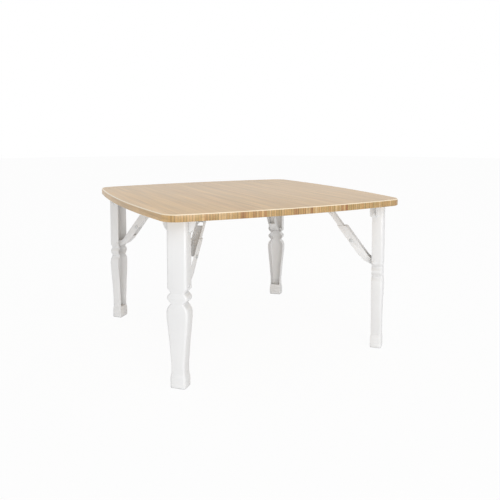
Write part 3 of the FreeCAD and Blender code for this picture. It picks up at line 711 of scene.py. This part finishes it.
def softened(stem, width, steps, angle):
    """A piece drawn from the node's own shape, with its flats merged and its sharp edges rounded."""
    node = frame["nodes"]["%s_%s" % (stem, MEASURED)]
    piece = bpy.data.objects.new("drawn_" + stem, node.data.copy())
    bpy.context.scene.collection.objects.link(piece)
    edit(piece, "EDGE")
    bpy.ops.mesh.select_all(action="SELECT")
    bpy.ops.mesh.remove_doubles(threshold=SAME_PLACE / 2)
    bpy.ops.mesh.select_all(action="SELECT")
    bpy.ops.mesh.dissolve_limited(angle_limit=radians(0.5))
    leave_edit()
    piece.rotation_euler = (0, 0, radians(-MEASURED_TURN))
    bpy.ops.object.transform_apply(location=True, rotation=True, scale=True)
    modify(piece, "BEVEL", width=width, segments=steps, limit_method="ANGLE", angle_limit=radians(angle))
    smooth(piece, angle=32)
    return piece


class TABLE_OT_brackets(BuildOperator, Operator):
    """Finish the brackets that hold the legs and braces to the board"""

    bl_idname = "low_table.brackets"
    bl_label = "Brackets"

    def execute(self, context):
        size = context.scene.low_table.steel
        for stem in ("leg_bracket", "brace_bracket"):
            set_at_corners(softened(stem, size.sheet_round, steps=2, angle=35), stem, "white_enamel")
        return {"FINISHED"}


class TABLE_OT_braces(BuildOperator, Operator):
    """Finish the two channel links of each brace"""

    bl_idname = "low_table.braces"
    bl_label = "Braces"

    def execute(self, context):
        size = context.scene.low_table.steel
        for stem in ("lower_link", "upper_link"):
            set_at_corners(softened(stem, size.sheet_round, steps=2, angle=35), stem, "white_enamel")
        return {"FINISHED"}


class TABLE_OT_rivets(BuildOperator, Operator):
    """Finish the pins, rivets and spacer bushes"""

    bl_idname = "low_table.rivets"
    bl_label = "Pins and rivets"

    def execute(self, context):
        size = context.scene.low_table.steel
        for stem, finish in (
            ("leg_pivot_pin", "white_enamel"), ("leg_link_rivets", "white_enamel"),
            ("elbow_rivets", "plated_steel"),
        ):
            set_at_corners(softened(stem, size.rivet_round, steps=4, angle=60), stem, finish)
        for stem, finish in (("brace_pin", "plated_steel"), ("spacer_bushes", "white_plastic")):
            set_at_corners(softened(stem, size.sheet_round, steps=2, angle=60), stem, finish)
        return {"FINISHED"}


class TABLE_OT_screws(BuildOperator, Operator):
    """Finish the screws that fasten the brackets"""

    bl_idname = "low_table.screws"
    bl_label = "Screws"

    def execute(self, context):
        size = context.scene.low_table.steel
        for stem in ("leg_bracket_screws", "brace_bracket_screws"):
            set_at_corners(softened(stem, size.sheet_round / 2, steps=1, angle=50), stem, "plated_steel")
        return {"FINISHED"}


# Stage


def white_floor_finish(settings):
    """Pale floor that shows white to the eye and in reflections, and keeps a soft shadow."""
    look = Finish("white_floor")
    rays = look.node("LightPath", {}).outputs
    seen = look.math("MAXIMUM", rays["Is Camera Ray"], look.math(
        "MAXIMUM", rays["Is Glossy Ray"], rays["Is Transmission Ray"]))
    plain = look.node("Emission", {"Color": grey(1.0), "Strength": 1.0}).outputs[0]
    grain = look.spread(look.noise(look.place(), 3.0), 0.93, 0.95)
    look.surface(Base_Color=look.node("CombineColor", {0: grain, 1: grain, 2: grain}).outputs[0],
                 Roughness=0.9)
    mixed = look.node("MixShader", {0: look.math("MULTIPLY", seen, settings.floor_white),
                                    1: look.shader.outputs[0], 2: plain}).outputs[0]
    look.feed(look.tree.nodes["Material Output"].inputs["Surface"], mixed)
    return look.material


def white_world(settings):
    """Even light from all round, seen as plain white by the camera and in reflections."""
    world = bpy.data.worlds.new("white_room")
    world.use_nodes = True
    nodes, links = world.node_tree.nodes, world.node_tree.links
    rays = nodes.new("ShaderNodeLightPath").outputs
    seen = nodes.new("ShaderNodeMath")
    seen.operation = "MAXIMUM"
    links.new(rays["Is Camera Ray"], seen.inputs[0])
    links.new(rays["Is Glossy Ray"], seen.inputs[1])
    strength = nodes.new("ShaderNodeMapRange")
    links.new(seen.outputs[0], strength.inputs["Value"])
    strength.inputs["To Min"].default_value = settings.sky
    strength.inputs["To Max"].default_value = 1.0
    links.new(strength.outputs["Result"], nodes["Background"].inputs["Strength"])
    nodes["Background"].inputs["Color"].default_value = grey(1.0)
    bpy.context.scene.world = world


def soft_lamp(name, shape, size, place, aim, power):
    deselect_all()
    bpy.ops.object.light_add(type="AREA", location=place)
    lamp = bpy.context.object
    lamp.name = lamp.data.name = name
    lamp.data.shape = shape
    lamp.data.size, lamp.data.size_y = size
    lamp.data.energy = power
    lamp.rotation_euler = (Vector(aim) - Vector(place)).to_track_quat("-Z", "Y").to_euler()


class TABLE_OT_stage(BuildOperator, Operator):
    """Set the camera, the white floor and the soft light"""

    bl_idname = "low_table.stage"
    bl_label = "Stage"

    def execute(self, context):
        scene = context.scene
        settings = scene.low_table.stage
        deselect_all()
        bpy.ops.object.camera_add(
            location=settings.camera_place,
            rotation=(pi / 2 - settings.camera_tilt, 0, -settings.camera_turn),
        )
        camera = bpy.context.object
        camera.data.lens = settings.focal_share * camera.data.sensor_width
        camera.data.shift_y = settings.shift
        scene.camera = camera

        deselect_all()
        bpy.ops.mesh.primitive_circle_add(vertices=96, radius=settings.floor_radius, fill_type="NGON")
        floor = bpy.context.object
        floor.name = floor.data.name = "floor"
        floor.data.materials.append(white_floor_finish(settings))

        white_world(settings)
        aim = settings.lamp_aim
        soft_lamp("key_lamp", "DISK", (settings.key_size, settings.key_size), settings.key_place, aim,
                  settings.key)
        soft_lamp("strip_lamp", "RECTANGLE", (settings.strip_length, settings.strip_height),
                  settings.strip_place, aim, settings.strip)
        scene.view_settings.view_transform = "Standard"
        return {"FINISHED"}


# Panel and registration


class TableSettings(PropertyGroup):
    """All settings of the table."""

    board: PointerProperty(type=BoardSettings, name="Board", description="Sizes and colours of the board")
    steel: PointerProperty(
        type=SteelSettings, name="Steel", description="Sizes and colours of the steel parts"
    )
    stage: PointerProperty(type=StageSettings, name="Stage", description="Camera, floor and light")


STEPS = (
    TABLE_OT_board, TABLE_OT_legs, TABLE_OT_foot_caps, TABLE_OT_brackets, TABLE_OT_braces,
    TABLE_OT_rivets, TABLE_OT_screws, TABLE_OT_stage,
)


class TABLE_PT_panel(Panel):
    """Lists the steps and settings of the table"""

    bl_idname = "TABLE_PT_panel"
    bl_label = "Folding low table"
    bl_space_type = "VIEW_3D"
    bl_region_type = "UI"
    bl_category = "Table"

    def draw(self, context):
        layout = self.layout
        for step in STEPS:
            layout.operator(step.bl_idname)
        settings = context.scene.low_table
        for group in (settings.board, settings.steel, settings.stage):
            box = layout.box()
            for name in group.__annotations__:
                box.prop(group, name)


CLASSES = (BoardSettings, SteelSettings, StageSettings, TableSettings, *STEPS, TABLE_PT_panel)


def register():
    for item in CLASSES:
        bpy.utils.register_class(item)
    bpy.types.Scene.low_table = PointerProperty(type=TableSettings)


def unregister():
    del bpy.types.Scene.low_table
    for item in reversed(CLASSES):
        bpy.utils.unregister_class(item)


def main():
    register()
    for step in STEPS:
        group, name = step.bl_idname.split(".")
        getattr(getattr(bpy.ops, group), name)()


if __name__ == "__main__":
    main()
